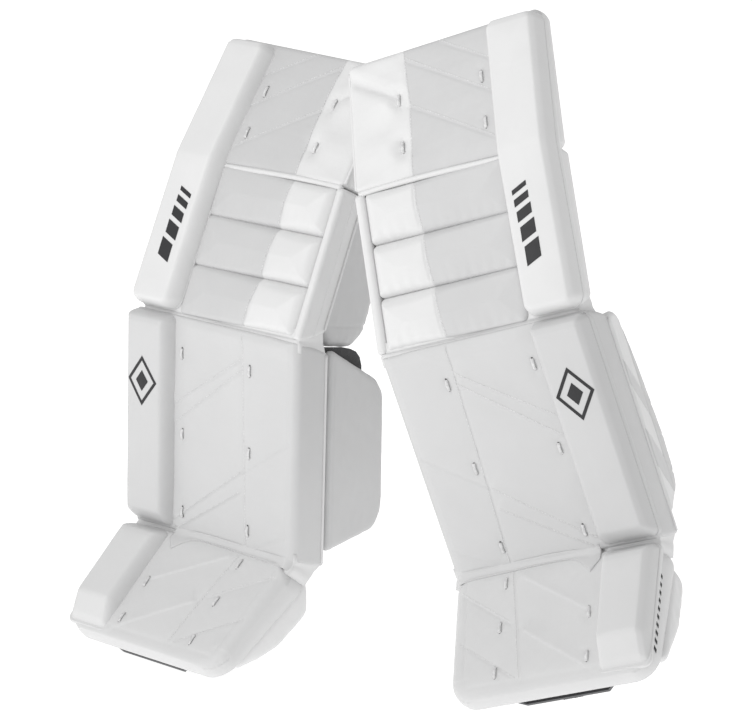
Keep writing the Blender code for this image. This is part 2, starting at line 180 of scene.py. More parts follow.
def cloth(name, colour, scale, roughness=0.85, sheen=0.25, depth=0.0005):
    """Woven or brushed fabric, with crossing threads at the given number a metre."""
    made, tree, shader = shader_of(name)
    place = add(tree, "ShaderNodeTexCoord").outputs["Object"]
    heights = []
    for axis in ("X", "Z"):
        wave = add(tree, "ShaderNodeTexWave", Scale=scale / 6.283, Distortion=1.2, Detail=1.0)
        wave.inputs["Detail Scale"].default_value = 2.0
        wave.bands_direction = axis
        tree.links.new(place, wave.inputs["Vector"])
        heights.append(wave.outputs["Fac"])
    weave = tree.nodes.new("ShaderNodeMath")
    weave.operation = "MULTIPLY"
    tree.links.new(heights[0], weave.inputs[0])
    tree.links.new(heights[1], weave.inputs[1])
    fuzz = add(tree, "ShaderNodeTexNoise", Scale=220.0, Detail=5.0)
    tree.links.new(place, fuzz.inputs["Vector"])
    dark, light = [c * 0.6 for c in colour], [min(1, c * 1.5) for c in colour]
    tree.links.new(blend_colours(tree, dark, light, fuzz.outputs["Fac"]), shader.inputs["Base Color"])
    shader.inputs["Roughness"].default_value = roughness
    shader.inputs["Sheen Weight"].default_value = sheen
    bump(tree, shader, [(fuzz.outputs["Fac"], 0.0006, 0.4), (weave.outputs["Value"], depth, 0.6)])
    return made


def plastic(name, colour, roughness):
    made, tree, shader = shader_of(name)
    place = add(tree, "ShaderNodeTexCoord").outputs["Object"]
    spark = add(tree, "ShaderNodeTexNoise", Scale=900.0, Detail=2.0)
    marks = add(tree, "ShaderNodeTexNoise", Scale=45.0, Detail=6.0)
    for node in (spark, marks):
        tree.links.new(place, node.inputs["Vector"])
    tree.links.new(ramp(tree, marks.outputs["Fac"], 0.3, 0.7, roughness - 0.08, roughness + 0.1),
                   shader.inputs["Roughness"])
    shader.inputs["Base Color"].default_value = (*colour, 1)
    bump(tree, shader, [(spark.outputs["Fac"], 0.0002, 0.25)])
    return made


# The grey of the white leather serves the real grey panels, and also painted shade on the shin, boot, ankle
# flap and outer rolls.
WHITE = vinyl("white_synthetic_leather", (0.755, 0.755, 0.755), (0.60, 0.60, 0.602))
# SHADE is a darker copy of the white leather: painted shade on the inner calf wing and the knee landing.
SHADE = vinyl("white_leather_painted_shade", (0.60, 0.60, 0.602), (0.52, 0.52, 0.522), roughness=0.5)
# Near-black discs at the lace holes: painted shade standing in for the holes' depth.
EYELET_HOLE_SHADE = vinyl("eyelet_hole_painted_shade", (0.10, 0.10, 0.10), roughness=0.6)
INK = vinyl("black_print", (0.022, 0.022, 0.024), roughness=0.5)
THREAD = cloth("white_thread", (0.80, 0.80, 0.80), 4000, 0.7, 0.1, 0.0001)
LACE = cloth("white_lace", (0.68, 0.68, 0.68), 2500, 0.8, 0.2, 0.0003)
LINING = cloth("black_brushed_lining", (0.022, 0.022, 0.024), 1500, 0.95, 0.5)
WEBBING = cloth("woven_black_webbing", (0.02, 0.02, 0.022), 900, 0.75, 0.3, 0.0008)
BLACK_PLASTIC = plastic("moulded_black_plastic", (0.018, 0.018, 0.02), 0.4)
GREY_PLASTIC = plastic("moulded_grey_plastic", (0.10, 0.10, 0.105), 0.5)


# Mesh helpers

TUBE_UP = Vector((0.31, 0.83, 0.46))  # no tube here runs this way
SIDE_RINGS = (0.12, 0.3, 0.5, 0.7, 0.88, 1.0)  # shares of a pillow's depth
LACE_HALF = (0.0021, 0.0010)  # half the width and thickness of a lace
EYELET_REACH = LACE_REACH + 0.0006
EYELET_RADIUS = 0.0013
FACE_GRID, BOOT_GRID = (0.0016, 7, 0.012), (0.0016, 9, 0.016)


def added(name, data):
    """A new object in the scene."""
    made = bpy.data.objects.new(name, data)
    bpy.context.scene.collection.objects.link(made)
    return made


def settled(made):
    """An object's mesh with its modifiers applied. They are then taken off the object."""
    mesh = bpy.data.meshes.new_from_object(made.evaluated_get(bpy.context.evaluated_depsgraph_get()))
    made.modifiers.clear()
    return mesh


def vectors(items, key):
    """One vector from every item of a mesh, as rows."""
    values = np.empty(len(items) * 3)
    items.foreach_get(key, values)
    return values.reshape(-1, 3)


def piece(name, points, faces, matrix, finish, body, tone=None, smooth=True):
    """An object from points in a section's frame, facing out, riding on a body."""
    data = bpy.data.meshes.new(name)
    world = np.asarray(points) @ np.array(matrix.to_3x3()).T + np.array(matrix.translation)
    data.from_pydata(world.tolist(), [], [list(map(int, face)) for face in faces])
    if tone is not None:
        data.attributes.new("tone", "FLOAT", "POINT").data.foreach_set("value", np.asarray(tone, float))
    work = bmesh.new()
    work.from_mesh(data)
    bmesh.ops.remove_doubles(work, verts=work.verts, dist=1e-6)
    bmesh.ops.recalc_face_normals(work, faces=work.faces)
    work.to_mesh(data)
    work.free()
    made = added(name, data)
    data.materials.append(finish)
    if smooth:
        data.shade_smooth()
    if body:
        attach(made, body)
    return made


def spaced(low, high, step, fine, reach):
    """Positions from low to high, closer together within reach of each end."""
    ends = reach * (1 - np.cos(np.linspace(0, math.pi / 2, fine + 1)))
    middle = np.linspace(low + reach, high - reach, max(2, int((high - low - 2 * reach) / step)) + 1)
    return np.concatenate([low + ends[:-1], middle, (high - ends[:-1])[::-1]])


def inside(x, z, box, radius, tight=(1.0, 1.0)):
    """How far a point lies inside a rounded rectangle, and the point itself pulled onto it if outside.

    A tight value above 1 makes the rounding over the low or high end steeper.
    """
    (x0, x1), (z0, z1) = box
    cx = np.clip(x, x0 + radius, x1 - radius)
    cz = np.clip(z, z0 + radius, z1 - radius)
    dx, dz = x - cx, z - cz
    away = np.hypot(dx, dz)
    corner = (np.abs(dx) > 0) & (np.abs(dz) > 0)
    edge = np.minimum.reduce([x - x0, x1 - x, (z - z0) * tight[0], (z1 - z) * tight[1]])
    pressed = np.where(z < (z0 + z1) / 2, tight[0], tight[1])
    depth = np.where(corner, np.minimum((radius - away) * pressed, edge), edge)
    pull = np.where(corner & (away > radius), radius / np.maximum(away, 1e-9), 1.0)
    return np.maximum(depth, 0.0), cx + dx * pull, cz + dz * pull


def bell(distance, width):
    """1 in the middle, dying away smoothly on both sides."""
    return np.exp(-((distance / width) ** 2))


def ripple(x, z, seed, wavelength, count=7):
    """A gentle uneven surface between about -1 and 1."""
    rng = np.random.RandomState(seed)
    total = 0
    for _ in range(count):
        angle = rng.uniform(0, math.pi)
        length = wavelength * rng.uniform(0.6, 1.6)
        phase = rng.uniform(0, 2 * math.pi)
        total = total + np.sin(2 * math.pi * (x * math.cos(angle) + z * math.sin(angle)) / length + phase)
    return total / count


def direction(start, end):
    """The length of a line between two points, and its direction."""
    (ax, az), (bx, bz) = start, end
    length = math.hypot(bx - ax, bz - az)
    return length, (bx - ax) / length, (bz - az) / length


def along(x, z, start, end):
    """Distance from a line between two points, and how far along it each point lies."""
    ax, az = start
    length, tx, tz = direction(start, end)
    share = ((x - ax) * tx + (z - az) * tz) / length
    beyond = np.maximum(np.maximum(-share, share - 1), 0) * length
    return np.hypot((x - ax) * -tz + (z - az) * tx, beyond), np.clip(share, 0, 1)


def seam(x, z, start, end, width=0.0013, depth=0.0007, swell=0.0006, reach=0.012):
    """The dip of a sewn seam, with the filling swelling softly on both sides of it."""
    far, share = along(x, z, start, end)
    return depth * bell(far, width) + swell * np.exp(-far / reach)


def lap(x, z, start, end, height=0.0020, fade=0.013):
    """A panel laid over its neighbour along a line: raised above the line, with a sharp lower edge."""
    ax, az = start
    length, tx, tz = direction(start, end)
    across = (z - az) * tx - (x - ax) * tz
    share = ((x - ax) * tx + (z - az) * tz) / length
    within = np.clip((share + 0.02) / 0.04, 0, 1) * np.clip((1.02 - share) / 0.04, 0, 1)
    raised = np.clip(across / 0.0018 + 0.5, 0, 1) * np.exp(-np.maximum(across, 0) / fade)
    return -height * raised * within


def pinch(x, z, places, depth=0.0012, radius=0.005):
    """Dimples where each lace enters and leaves, with faint creases running into the deep ones."""
    dip = 0
    for px, pz in places:
        for shift in (-LACE_REACH, LACE_REACH):
            far = np.hypot(x - px, z - pz - shift)
            spokes = 1 + 0.35 * np.sin(5 * np.arctan2(z - pz - shift, x - px) + px * 900)
            dip = dip + depth * np.exp(-((far / radius) ** 1.3)) * spokes
    return dip


def pleat(x, z, start, end, depth=0.0036, width=0.0060):
    """A deep soft fold that is widest at its start and dies out at its end."""
    far, share = along(x, z, start, end)
    fold = bell(far, width * (1.15 - 0.6 * share)) * (1 - 0.7 * share**2)
    return depth * fold - 0.35 * depth * bell(far - 2.2 * width, 1.6 * width)


def grid_faces(rows, columns, base=0, flip=False):
    index = np.arange(rows * columns).reshape(rows, columns) + base
    quads = np.stack([index[:-1, :-1], index[1:, :-1], index[1:, 1:], index[:-1, 1:]], -1).reshape(-1, 4)
    return quads[:, ::-1] if flip else quads


def grid_rim(rows, columns):
    """The indices round the edge of a grid of points, in order."""
    loop = [(i, 0) for i in range(rows)] + [(rows - 1, j) for j in range(1, columns)]
    loop += [(i, columns - 1) for i in range(rows - 2, -1, -1)] + [(0, j) for j in range(columns - 2, 0, -1)]
    return [i * columns + j for i, j in loop]


def pillow(xs, zs, front, back, box, corner, edge, crown=0.002, bulge=0.0015, tone=None, shape=None,
           tight=(1.0, 1.0), full=False):
    """A closed padded block between a shaped front and a back, with rounded edges and full sides."""
    x, z = np.meshgrid(xs, zs, indexing="ij")
    depth, px, pz = inside(x, z, box, corner, tight)
    reach = edge(px) if callable(edge) else edge
    rise = crown(px) if callable(crown) else crown
    near = np.minimum(depth / reach, 1.0)
    lift = reach * (1 - np.sqrt(np.maximum(0, 1 - (1 - near) ** 2)))
    fill = rise * (1 - np.exp(-depth / 0.03))
    rounded = np.sqrt(np.maximum(0, 1 - (1 - near) ** 2)) if full else near
    y = lift - fill + front(px, pz) * rounded
    rows, columns = x.shape
    points = [np.stack([px, y, pz], -1).reshape(-1, 3)]
    faces = [grid_faces(rows, columns)]
    rim = np.array(grid_rim(rows, columns))
    flat = points[0][rim]
    centre = np.array([np.mean(box[0]), 0, np.mean(box[1])])
    deep = np.array([back(p[0], p[2]) for p in flat])
    count = len(rim)
    last, base = rim, rows * columns
    out = flat - centre
    out[:, 1] = 0
    out /= np.maximum(np.linalg.norm(out, axis=1, keepdims=True), 1e-9)
    for share in SIDE_RINGS:
        ring = flat.copy()
        ring[:, 1] = flat[:, 1] * (1 - share) + deep * share
        ring += out * (bulge * math.sin(math.pi * share))
        points.append(ring)
        now = np.arange(count) + base
        base += count
        follow = np.roll(now, -1)
        faces.append(np.stack([last, np.roll(last, -1), follow, now], -1))
        last = now
    under = np.stack([px, back(px, pz), pz], -1).reshape(-1, 3)
    points.append(under)
    faces.append(grid_faces(rows, columns, base, True))
    rim_under = rim + base
    faces.append(np.stack([last, np.roll(last, -1), np.roll(rim_under, -1), rim_under], -1))
    points = np.concatenate(points)
    shades = None
    if tone is not None:
        shades = np.full(len(points), 0.0 if callable(tone) else tone)
        if callable(tone):
            face = slice(0, rows * columns)
            shades[face] = tone(points[face, 0], points[face, 2])
    if shape is not None:
        points = shape(points)
    return points, np.concatenate(faces), shades


def mitred(points, low, high, low_slopes, high_slopes):
    """Points of a section moved so that its ends slope as the CAD part's do."""
    y, z = points[:, 1], points[:, 2]
    share = (z - low) / (high - low)
    slope_low = np.where(y > 0, low_slopes[0], low_slopes[1])
    slope_high = np.where(y > 0, high_slopes[0], high_slopes[1])
    moved = points.copy()
    moved[:, 2] = z + y * (slope_low * (1 - share) + slope_high * share)
    return moved


def shin_shape(points):
    return mitred(points, -SHIN_LENGTH, 0, (-ANKLE_MITRE, -ANKLE_FRONT), (-KNEE_MITRE, -KNEE_FRONT))


def knee_shape(points):
    return mitred(points, 0, KNEE_LENGTH, (KNEE_MITRE, KNEE_FRONT), (0, 0))


def boot_shape(points):
    moved = mitred(points, -BOOT_LENGTH, 0, (0, 0), (ANKLE_MITRE, ANKLE_FRONT))
    thin = np.where(moved[:, 1] > 0, 1 + BOOT_TAPER * moved[:, 2] / BOOT_LENGTH, 1)
    moved[:, 1] = moved[:, 1] * thin
    moved[:, 0] *= 1 + 0.05 * moved[:, 2] / BOOT_LENGTH
    return moved


def headings(path):
    """The points of a path, each with the direction of travel there."""
    path = [Vector(p) for p in path]
    for i, here in enumerate(path):
        yield here, (path[min(i + 1, len(path) - 1)] - path[max(i - 1, 0)]).normalized()


def tube_faces(rings, sides):
    """The walls and caps of a tube of equal rings."""
    faces = []
    for base in range(0, (rings - 1) * sides, sides):
        for k in range(sides):
            a, b = base + k, base + (k + 1) % sides
            faces.append((a, b, b + sides, a + sides))
    faces.append(tuple(range(sides))[::-1])
    faces.append(tuple((rings - 1) * sides + k for k in range(sides)))
    return faces


def tube(path, radius, sides=8):
    """A round tube through the points."""
    points = []
    for here, ahead in headings(path):
        across = ahead.cross(TUBE_UP).normalized()
        other = ahead.cross(across)
        for k in range(sides):
            turn = 2 * math.pi * k / sides
            points.append(here + radius * (across * math.cos(turn) + other * math.sin(turn)))
    return points, tube_faces(len(path), sides)


def strap_tube(path, across, wide, thick, sides=8):
    """A flattened tube through the points, wide along one direction."""
    points = []
    across = Vector(across)
    for here, ahead in headings(path):
        up = ahead.cross(across).normalized()
        for k in range(sides):
            turn = 2 * math.pi * k / sides
            points.append(here + across * (wide * math.cos(turn)) + up * (thick * math.sin(turn)))
    return points, tube_faces(len(path), sides)


def gather(parts):
    """Several (points, faces) as one."""
    points, faces = [], []
    for some, some_faces in parts:
        base = len(points)
        points.extend(tuple(p) for p in some)
        faces.extend(tuple(i + base for i in face) for face in some_faces)
    return points, faces


def surface_at(obj, matrix, x, z):
    """The front surface's depth at a place on a section, found by looking along its depth."""
    start = matrix @ Vector((x, -0.2, z))
    way = (matrix @ Vector((x, 0.2, z)) - start).normalized()
    hit, point, _, _ = obj.ray_cast(start, way)
    return (matrix.inverted() @ point).y if hit else None


def stitches(obj, matrix, start, end, pitch=0.0042, length=0.0028, radius=0.00048, offset=0.0):
    """Thread stitches laid on a surface between two places, shifted sideways by the offset."""
    ax, az = start
    run, tx, tz = direction(start, end)
    parts = []
    for k in range(int(run / pitch)):
        at = (k + 0.5) * pitch
        path = []
        for share, sink in ((-0.5, 0.0004), (-0.25, -0.00025), (0.25, -0.00025), (0.5, 0.0004)):
            s = at + share * length
            x, z = ax + tx * s - tz * offset, az + tz * s + tx * offset
            y = surface_at(obj, matrix, x, z)
            if y is None:
                break
            path.append((x, y + sink, z))
        if len(path) == 4:
            parts.append(tube(path, radius, 5))
    return parts


def lace_loops(obj, matrix, places):
    """A length of lace lying over the surface at each place, its lower end going in."""
    parts = []
    for x, z in places:
        heights = [surface_at(obj, matrix, x, z + shift) for shift in (-LACE_REACH, 0, LACE_REACH)]
        if None in heights:
            continue
        path = []
        for k in range(10):
            share = k / 10
            turn = math.pi * share
            ground = np.interp(share, (0, 0.5, 1), heights)
            dive = 0.0022 if k == 0 else 0.0
            y = ground + dive - 0.0021 * math.sin(turn) ** 0.6
            path.append((x, y, z - LACE_REACH * math.cos(turn) * 1.05))
        parts.append(strap_tube(path, (1, 0, 0), *LACE_HALF))
    return parts


def eyelet_hole_shades(obj, matrix, places):
    """Dark discs where the laces pass through: painted shade standing in for the holes."""
    parts = []
    turns = [2 * math.pi * k / 10 for k in range(10)]
    for x, z in places:
        for shift in (-EYELET_REACH, EYELET_REACH):
            y = surface_at(obj, matrix, x, z + shift)
            if y is not None:
                ring = [
                    (x + EYELET_RADIUS * math.cos(t), y - 0.0002, z + shift + EYELET_RADIUS * math.sin(t))
                    for t in turns
                ]
                parts.append((ring, [tuple(range(10))]))
    return parts


# Sections of a pad


def flat_at(depth):
    return lambda x, z: np.full(np.shape(x), depth)


# Loops and lines are (x, z) places in millimetres on a section's face.
THIGH_LOOPS = [(45, 110), (46, 49), (-70, 109), (-69, 46)]
SHIN_LOOPS = [(54, -51), (52, -160), (49, -266), (-62, -53), (-63, -163), (-63, -268)]
BOOT_LOOPS = [(-65, -22), (-69, -84), (-72, -146), (50, -86), (50, -146)]
THIGH_LINES = [((-12, 173), (60, 128)), ((-58, 160), (60, 84)), ((-58, 98), (60, 24))]
SHIN_LINES = [
    ((-50, -42), (63, -122)), ((-51, -56), (63, -148)),
    ((-52, -193), (62, -281)), ((-51, -220), (62, -296)),
]
FAINT_SHIN_LINES = [((-128, -138), (-52, -193)), ((-128, -262), (-70, -294))]
BOOT_LINES = [
    ((-46, -14), (53, -84)), ((-40, -93), (68, -172)),
    ((-128, -26), (-56, -82)), ((-126, -98), (-44, -162)),
]


DIAMOND_CENTRE = (0.1025, -0.092)
BAR_HEIGHTS = (0.024, 0.018, 0.013, 0.009, 0.006)


def metres(items):
    if isinstance(items, (list, tuple)):
        return tuple(metres(item) for item in items)
    return items / 1000


def face_relief(seams, loops, seed, wrinkle=0.0004, laps=(), pleats=(), pull=0.0012):
    """The dips and swellings of a face: seams, laps, pleats, lace dimples and slight unevenness."""
    seams, loops, laps, pleats = metres(seams), metres(loops), metres(laps), metres(pleats)

    def relief(x, z):
        rise = wrinkle * ripple(x, z, seed, 0.06) + 0.4 * wrinkle * ripple(x, z, seed + 9, 0.018)
        for start, end in seams:
            rise = rise + seam(x, z, start, end)
        for start, end in laps:
            rise = rise + lap(x, z, start, end)
        for start, end in pleats:
            rise = rise + pleat(x, z, start, end)
        return rise + pinch(x, z, loops, pull)

    return relief


def sewn_panel(side, at, name, where, body, nodes, box, grids, relief, depth, *edges, firmness=0.9,
               **looks):
    """A panel on a body in place of CAD nodes. A grid is a spacing, the rows at an edge, and their reach."""
    xs, zs = (spaced(*ends, *grid) for ends, grid in zip(box, grids))
    mesh = pillow(xs, zs, relief, flat_at(depth), box, *edges, **looks)
    made = piece(f"{side}_{name}", mesh[0], mesh[1], at[where], WHITE, f"{side}_{body}", mesh[2])
    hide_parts(*[f"{side}_{node}" for node in nodes])
    return made


def wide_inner_edge(x):
    """The rounding of a face's edge, larger down the inner side."""
    return np.interp(x, (INNER_X + 0.02, INNER_X + 0.05), (0.015, 0.009))


def strip_tone(edge, softness=0.0006):
    """Grey outside the seam between the inner strip and the main panel, white inside it."""
    return lambda x, z: np.clip((x - np.interp(z, *edge)) / softness, 0, 1)


def thinned(points):
    """Points of the thigh, its depth behind the face tapering towards the top."""
    moved = points.copy()
    share = np.clip(moved[:, 2] / THIGH_LENGTH, 0, 1)
    moved[:, 1] = np.where(moved[:, 1] > 0, moved[:, 1] * (1 - THIGH_TAPER * share), moved[:, 1])
    return moved


def thigh_front(side, at):
    box = ((INNER_X, OUTER_X - 0.012), (0.001, THIGH_LENGTH))
    seams = THIGH_LINES + [((-61, 178), (-56, 100)), ((-56, 100), (-59, 0))]
    flat = face_relief(seams, THIGH_LOOPS[:2], 3, pleats=[((-137, 158), (-76, 117))])

    def relief(x, z):
        pulled = pinch(x, z, metres(THIGH_LOOPS[2:]), 0.0024, 0.0045)
        for px, pz in metres(THIGH_LOOPS[2:]):
            pulled = pulled + 0.0040 * np.exp(-(((x - px) / 0.013) ** 2) - ((z - pz) / 0.016) ** 2)
        stuffed = 0.0024 * np.sin(np.clip((x + 0.135) / 0.07, 0, 1) * math.pi) * np.sin(z * 52 - 1.0) ** 2
        return flat(x, z) + pulled - stuffed

    tone_edge = ([0.0, 0.100, 0.178], [-0.059, -0.056, -0.061])

    def shape(points):
        moved = mitred(points, 0, THIGH_LENGTH, (math.tan(math.radians(THIGH_LEAN)) + 0.01, 0), (0, 0))
        share = np.clip(moved[:, 2] / THIGH_LENGTH, 0, 1)
        slope = (moved[:, 0] - INNER_X) / (OUTER_X - INNER_X)
        moved[:, 2] += share * (-0.005 + 0.010 * slope)
        return thinned(moved)

    return sewn_panel(
        side, at, "thigh_panel", "thigh", "upper", ("thigh_cover", "thigh_core"), box,
        (FACE_GRID, FACE_GRID), relief, THIGH_DEPTH, 0.010, 0.010, crown=0.0030,
        tone=strip_tone(tone_edge, 0.001), shape=shape, tight=(2.5, 1.5),
    )


def knee_rolls(side, at):
    made = []
    seam_line = [-0.047, -0.053, -0.057, -0.059]
    for number in range(3):
        foot = number * ROLL_PITCH + (-0.0008 if number else 0.0003)
        head = (number + 1) * ROLL_PITCH + 0.0008
        box = ((INNER_X + EDGE_ROLL - 0.001, CREASE_X), (foot, head))
        strip = ((seam_line[number], foot), (seam_line[number + 1], head))

        def relief(x, z, strip=strip, foot=foot, head=head, number=number):
            dip = 0.0006 * ripple(x, z, 20 + number, 0.05)
            dip = dip + seam(x, z, *strip, width=0.0016, depth=0.0014, swell=0.0012)
            tuck = bell(x - (INNER_X + 0.025), 0.03)
            low = bell(z - foot, 0.006)
            pulls = 0.0012 * np.sin(x * 420 + number) * np.exp(-((z - foot) / 0.010)) * (0.4 + tuck)
            return dip + 0.0035 * tuck * low + pulls

        edge = ([foot, head], [seam_line[number], seam_line[number + 1]])
        made.append(sewn_panel(
            side, at, f"knee_roll_pad_{3 - number}", "knee", "upper", [f"knee_roll_{3 - number}"], box,
            ((0.0015, 7, 0.010), (0.0014, 9, 0.012)), relief, KNEE_ROLL_DEPTH,
            0.008, lambda x: np.interp(x, (-0.08, -0.03, 0.06), (0.015, 0.0095, 0.0055)), firmness=0.8,
            crown=lambda x: np.interp(x, (-0.09, -0.03), (0.0105, 0.0065)), bulge=0.0,
            tone=strip_tone(edge, 0.001), shape=knee_shape,
        ))
    return made


def edge_roll(side, at):
    """The narrow stuffed edge down the inner side of the knee, and the foam block behind the knee rolls."""
    box = ((INNER_X - 0.001, INNER_X + EDGE_ROLL + 0.0012), (0.0006, KNEE_LENGTH - 0.001))

    def relief(x, z):
        tucks = sum(bell(z - n * ROLL_PITCH, 0.004) for n in (1, 2))
        return 0.0003 * ripple(x, z, 31, 0.04) + 0.0012 * tucks * np.clip((x - INNER_X) / 0.02, 0, 1)

    sewn_panel(
        side, at, "inner_edge_roll", "knee", "upper", ["inner_knee_roll"], box,
        ((0.0012, 5, 0.0048), (0.0022, 6, 0.010)), relief, KNEE_ROLL_DEPTH, 0.0045, 0.0058,
        crown=0.003, bulge=0.0, shape=knee_shape,
    )
    block = ((INNER_X + 0.001, OUTER_X - 0.010), (0.0012, KNEE_LENGTH - 0.0015))
    sewn_panel(
        side, at, "knee_block", "knee", "upper", ["knee_core"], block, ((0.006, 4, 0.008), (0.006, 4, 0.008)),
        flat_at(KNEE_ROLL_DEPTH + 0.0004), THIGH_DEPTH, 0.006, 0.002, firmness=None, crown=0.0, bulge=0.002,
        shape=knee_shape,
    )


def stuffed_roll(side, at, name, where, body, box, shape, front=None, seed=50, tone=0.0, corner=0.010):
    """An outer roll standing proud of the face, firm and flat in front, with a seam round its front panel."""
    (near, far), (low, high) = box
    left, right, foot, head = near + 0.004, far - 0.008, low + 0.006, high - 0.011

    def relief(x, z):
        dip = 0.00035 * ripple(x, z, seed, 0.07)
        dip = dip + seam(x, z, (right, foot), (right, head), 0.0012, 0.0012, 0.0004, 0.006)
        dip = dip + seam(x, z, (left, head), (right, head), 0.0012, 0.0012, 0.0004, 0.006)
        dip = dip + seam(x, z, (left, foot), (right, foot), 0.0012, 0.0010, 0.0004, 0.006)
        extra = front(x, z) if front else 0
        return dip + extra - ROLL_PROUD + 0.0018

    return sewn_panel(
        side, at, f"{name}_pad", where, body, [name], box, ((0.0016, 9, 0.012), (0.0022, 9, 0.014)),
        relief, 0.001, corner, 0.0115, firmness=0.95, crown=0.0026, bulge=0.0012, shape=shape, tone=tone,
        full=True,
    )


def bend_into_thigh(points):
    """Points above the first break carried back with the thigh, and the lower end sloped for the knee."""
    moved = points.copy()
    angle = math.radians(THIGH_LEAN)
    low = np.clip(1 - moved[:, 2] / 0.05, 0, 1)
    moved[:, 2] += moved[:, 1] * KNEE_FRONT * low
    over = moved[:, 2] - KNEE_LENGTH
    turn = np.clip((over + 0.012) / 0.024, 0, 1) * angle
    y = moved[:, 1].copy()
    along_z = np.maximum(over, 0)
    moved[:, 1] = y * np.cos(turn) + along_z * np.sin(angle)
    moved[:, 2] = np.minimum(moved[:, 2], KNEE_LENGTH) - y * np.sin(turn) + along_z * np.cos(angle)
    share = points[:, 2] / (KNEE_LENGTH + THIGH_LENGTH)
    moved[:, 0] -= 0.007 * share
    return moved


def outer_rolls(side, at):
    # The outer rolls are all white leather. Their tones are painted shade: barely any on the upper roll, most
    # on the shin roll, some on the boot roll.
    upper = stuffed_roll(
        side, at, "upper_outer_roll", "knee", "upper",
        ((CREASE_X, OUTER_X), (0.003, KNEE_LENGTH + THIGH_LENGTH - 0.002)),
        bend_into_thigh, seed=51, tone=0.05, corner=0.017,
    )
    shin = stuffed_roll(
        side, at, "shin_outer_roll", "pad", "shin", ((CREASE_X, OUTER_X), (-SHIN_LENGTH + 0.004, -0.002)),
        shin_shape, seed=52, tone=0.9,
    )

    def facet(x, z):
        below = -BOOT_LENGTH + 0.043 - z
        return np.clip(below, 0, 1) * 0.6 + 0.0006 * bell(below, 0.002)

    stuffed_roll(
        side, at, "boot_outer_roll", "boot", "boot",
        ((CREASE_X + 0.002, OUTER_X - 0.001), (-BOOT_LENGTH + 0.005, -0.004)),
        boot_shape, facet, seed=53, tone=0.3,
    )
    return upper, shin


def shin_front(side, at):
    box = ((INNER_X, OUTER_X - 0.001), (-SHIN_LENGTH + 0.001, -0.0003))
    seams = FAINT_SHIN_LINES + [((-47, 0), (-52, -141)), ((-52, -141), (-58, -296))]
    seams = seams + [((-128, 0), (-128, -296))]
    base = face_relief(seams, SHIN_LOOPS, 5, laps=SHIN_LINES)

    def relief(x, z):
        lip = 0.0022 * bell(z + 0.014, 0.009) * np.clip((CREASE_X - x) / 0.02, 0, 1)
        return base(x, z) - lip

    # tone 0.85 is painted shade: it greys the whole white shin face, as if it caught less light than the
    # thigh.
    return sewn_panel(
        side, at, "shin_panel", "pad", "shin", ("shin_cover", "shin_core"), box, (FACE_GRID, FACE_GRID),
        relief, COVER_DEPTH, 0.006, wide_inner_edge, crown=0.0026, tone=0.85, shape=shin_shape,
        tight=(4.0, 2.6),
    )


def boot_front(side, at):
    box = ((INNER_X + 0.001, OUTER_X - 0.001), (-BOOT_LENGTH, -0.0015))
    seams = BOOT_LINES[2:] + [((-55, 0), (-45, -91)), ((-45, -91), (-38, -163)), ((-134, -160), (66, -163))]
    seams = seams + [((-121, 0), (-119, -158))]
    base = face_relief(seams, BOOT_LOOPS, 7, laps=BOOT_LINES[:2])

    def relief(x, z):
        droop = np.clip((-BOOT_LENGTH + 0.022 - z) / 0.022, 0, 1)
        return base(x, z) + 0.006 * droop**2

    # tone 0.45 is painted shade: it greys the whole white boot face.
    return sewn_panel(
        side, at, "boot_panel", "boot", "boot", ("boot_cover", "boot_core"), box, (BOOT_GRID, BOOT_GRID),
        relief, BOOT_DEPTH, 0.030, wide_inner_edge, crown=0.0036, tone=0.45, shape=boot_shape,
        tight=(0.8, 5.0),
    )


def threads(side, at, panels):
    """Stitch lines beside the seams, and the laces with painted shade at their holes, over each face."""
    jobs = [
        ("thigh", "thigh", "upper", THIGH_LINES, THIGH_LOOPS, ((-59, 2), (-56, 100), (-61, 172))),
        ("pad", "shin", "shin", SHIN_LINES, SHIN_LOOPS, ((-47, -6), (-52, -141), (-58, -290))),
        ("boot", "boot", "boot", BOOT_LINES[2:], BOOT_LOOPS, ((-55, -6), (-45, -91), (-38, -160))),
    ]
    for where, section, body, lines, loops, strip in jobs:
        panel = panels[section]
        parts = []
        for start, end in metres(lines):
            parts += stitches(panel, at[where], start, end, offset=0.0030)
        for start, end in metres(list(zip(strip, strip[1:]))):
            parts += stitches(panel, at[where], start, end, offset=-0.0020)
        laces, holes = (made(panel, at[where], metres(loops)) for made in (lace_loops, eyelet_hole_shades))
        layers = (("stitches", parts, THREAD), ("laces", laces, LACE), ("eyelet_hole_shades", holes, EYELET_HOLE_SHADE))
        for name, laid, finish in layers:
            piece(f"{side}_{body}_{name}", *gather(laid), at[where], finish, f"{side}_{body}")
    for number, (roll, seam_x) in enumerate(zip(panels["knee"], ((-47, -53), (-53, -57), (-57, -59)))):
        foot = number * ROLL_PITCH + 0.006
        ends = ((seam_x[0] / 1000 + 0.0005, foot), (seam_x[1] / 1000 + 0.0002, foot + ROLL_PITCH - 0.012))
        sewn = gather(stitches(roll, at["knee"], *ends, offset=-0.0020))
        piece(f"{side}_knee_roll_{3 - number}_stitches", *sewn, at["knee"], THREAD, f"{side}_upper")


